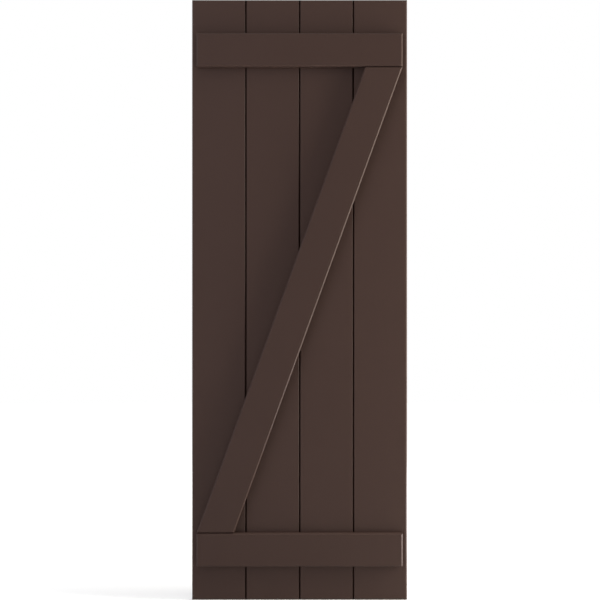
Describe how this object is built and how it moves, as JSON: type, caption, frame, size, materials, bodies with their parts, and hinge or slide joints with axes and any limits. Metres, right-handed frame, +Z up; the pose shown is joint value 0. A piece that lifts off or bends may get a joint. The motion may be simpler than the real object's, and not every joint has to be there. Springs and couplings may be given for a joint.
{
  "type": "board and batten shutter",
  "caption": "Upright window shutter of tongue and groove boards with narrow open joints, held by level battens and a corner to corner diagonal brace, flat at the back to lie on a wall.",
  "frame": {"origin": "on the flat back face, half way up and half way across the boards", "axes": "+Z up along the boards, +X to the right seen from the front, +Y out of the back towards the wall, so the battens face -Y"},
  "size_m": [0.5462, 0.0381, 1.524],
  "materials": {
    "brown_paint": "smooth dark brown satin paint on solid trim board, no grain showing"
  },
  "bodies": {
    "root": {"left_board": "brown_paint", "centre_left_board": "brown_paint", "centre_right_board": "brown_paint", "right_board": "brown_paint", "top_batten": "brown_paint", "bottom_batten": "brown_paint", "diagonal_brace": "brown_paint"}
  },
  "joints": []
}
